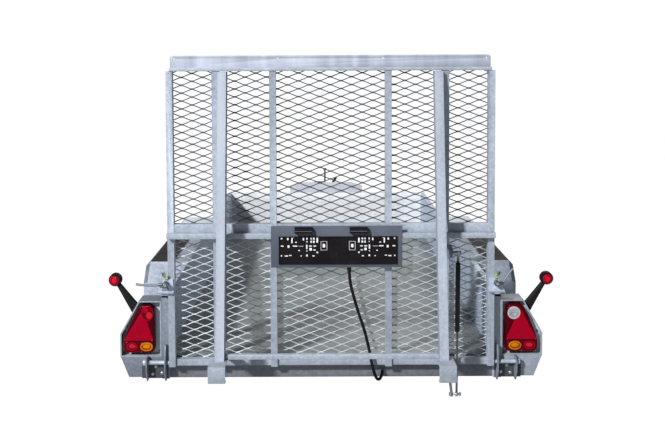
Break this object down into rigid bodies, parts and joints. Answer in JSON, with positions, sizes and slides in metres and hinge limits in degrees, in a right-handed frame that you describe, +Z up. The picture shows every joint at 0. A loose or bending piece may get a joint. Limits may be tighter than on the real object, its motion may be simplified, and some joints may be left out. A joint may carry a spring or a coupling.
{
  "type": "equipment trailer",
  "caption": "Towed equipment trailer with an open steel bed on tandem axles, an A-frame drawbar with overrun coupling and a full-width mesh ramp that stands upright at the rear.",
  "frame": {"origin": "on the ground, at the middle of the trailer's overall length and width", "axes": "+Y forwards to the coupling, +X to the trailer's right, +Z up"},
  "size_m": [2.066, 4.771, 1.782],
  "materials": {
    "galvanised": "hot-dip galvanised, spangled, dull",
    "floor_plate": "galvanised tread plate, weathered",
    "shadow_steel": "galvanised, matt grey",
    "zinc": "zinc plated, satin",
    "black_paint": "black, semi-gloss",
    "polished_rod": "polished",
    "tyre_rubber": "moulded rubber",
    "rubber": "moulded rubber",
    "cable_sheath": "smooth sheath",
    "lamp_red": "clear coloured lens",
    "black_plastic": "moulded plastic",
    "panel_grey": "matt grey sheet",
    "rim_paint": "silver paint"
  },
  "bodies": {
    "chassis": {"axle_tubes": "galvanised", "bed_floor": "floor_plate", "brake_linkage": "zinc", "bucket_rest": "galvanised", "coupling_head": "zinc", "cross_members": "galvanised", "drawbar_rails": "galvanised", "front_wall": "galvanised", "hinge_brackets": "galvanised", "jockey_clamp": "zinc", "jockey_crank": "zinc", "jockey_outer_tube": "zinc", "lamp_box_left": "galvanised", "lamp_box_right": "galvanised", "marker_lamps": "rubber", "mudguard_left": "galvanised", "mudguard_right": "galvanised", "overrun_unit": "black_paint", "rear_cross_member": "galvanised", "rear_lamp_left": "lamp_red", "rear_lamp_right": "lamp_red", "side_rails": "galvanised", "side_wall_left": "galvanised", "side_wall_right": "galvanised", "strut_arm": "galvanised", "swing_arms": "galvanised"},
    "ramp": {"ramp_frame": "galvanised", "ramp_mesh": "galvanised", "ramp_beams": "galvanised", "ramp_brace": "galvanised", "ramp_latches": "zinc", "plate_panel": "panel_grey", "plate_holder": "black_plastic", "plate_lamps": "black_plastic", "strut_mount": "galvanised", "plate_lamp_cable": "cable_sheath"},
    "strut_cylinder": {"strut_cylinder": "black_paint"},
    "strut_rod": {"strut_rod": "polished_rod"},
    "handbrake_lever": {"handbrake_lever": "black_paint"},
    "jockey_leg": {"jockey_inner_tube": "zinc"},
    "jockey_fork": {"jockey_fork": "zinc"},
    "jockey_wheel": {"jockey_wheel": "rubber"},
    "wheel_rear_left": {"tyre_rear_left": "tyre_rubber", "wheel_rear_left": "rim_paint"},
    "wheel_rear_right": {"tyre_rear_right": "tyre_rubber", "wheel_rear_right": "rim_paint"},
    "wheel_front_left": {"tyre_front_left": "tyre_rubber", "wheel_front_left": "rim_paint"},
    "wheel_front_right": {"tyre_front_right": "tyre_rubber", "wheel_front_right": "rim_paint"}
  },
  "joints": [
    {"name": "ramp_hinge", "type": "hinge", "parent": "chassis", "child": "ramp", "pos_m": [0, -2.0625, 0.37], "axis": [1, 0, 0], "range_deg": [0, 105], "deforming": ["plate_lamp_cable"]},
    {"name": "strut_pivot", "type": "hinge", "parent": "ramp", "child": "strut_cylinder", "pos_m": [0.574, -2.1175, 0.89], "axis": [1, 0, 0], "range_deg": [-13.56, 0]},
    {"name": "strut_slide", "type": "slide", "parent": "strut_cylinder", "child": "strut_rod", "axis": [0, -0.0525, 0.9986], "range_m": [0, 0.2029]},
    {"name": "handbrake", "type": "hinge", "parent": "chassis", "child": "handbrake_lever", "pos_m": [0.079, 1.8865, 0.457], "axis": [-1, 0, 0], "range_deg": [0, 60]},
    {"name": "jockey_slide", "type": "slide", "parent": "chassis", "child": "jockey_leg", "axis": [0, 0, 1], "range_m": [-0.1, 0.08]},
    {"name": "jockey_swivel", "type": "hinge", "parent": "jockey_leg", "child": "jockey_fork", "pos_m": [-0.098, 2.0895, 0.206], "axis": [0, 0, 1], "continuous": true},
    {"name": "jockey_roll", "type": "hinge", "parent": "jockey_fork", "child": "jockey_wheel", "pos_m": [-0.098, 2.0595, 0.1], "axis": [1, 0, 0], "continuous": true},
    {"name": "rear_left_roll", "type": "hinge", "parent": "chassis", "child": "wheel_rear_left", "pos_m": [-0.872, -1.0875, 0.295], "axis": [1, 0, 0], "continuous": true},
    {"name": "rear_right_roll", "type": "hinge", "parent": "chassis", "child": "wheel_rear_right", "pos_m": [0.872, -1.0875, 0.295], "axis": [1, 0, 0], "continuous": true},
    {"name": "front_left_roll", "type": "hinge", "parent": "chassis", "child": "wheel_front_left", "pos_m": [-0.872, -0.3975, 0.295], "axis": [1, 0, 0], "continuous": true},
    {"name": "front_right_roll", "type": "hinge", "parent": "chassis", "child": "wheel_front_right", "pos_m": [0.872, -0.3975, 0.295], "axis": [1, 0, 0], "continuous": true}
  ],
  "couplings": [
    {"joint": "strut_pivot", "follows": "ramp_hinge", "ratio": -0.12301},
    {"joint": "strut_slide", "follows": "ramp_hinge", "m_per_rad": 0.10751}
  ]
}
